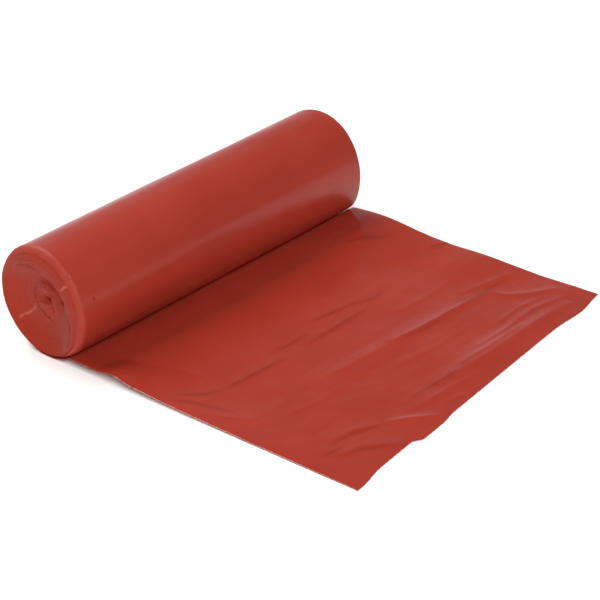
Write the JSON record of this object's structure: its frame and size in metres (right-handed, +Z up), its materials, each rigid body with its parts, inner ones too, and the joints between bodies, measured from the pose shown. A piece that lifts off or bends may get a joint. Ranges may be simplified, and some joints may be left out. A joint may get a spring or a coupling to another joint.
{
  "type": "biohazard waste bag roll",
  "caption": "Coreless roll of red polyethylene waste bags lying on its side, with the flattened leading bag pulled off along the floor.",
  "frame": {"origin": "on the underside of the leading bag's film, straight below the middle of the roll's axis", "axes": "+X along the roll's axis, -Y toward the leading bag's free edge, +Z up from the surface that it lies on"},
  "size_m": [0.305, 0.3353, 0.0857],
  "materials": {
    "wound_film": "edges of wound red film, satin to glossy",
    "film": "glossy, slightly translucent red film, lightly creased, unprinted"
  },
  "bodies": {
    "root": {"bag_roll": "wound_film", "leading_bag": "film"}
  },
  "joints": []
}
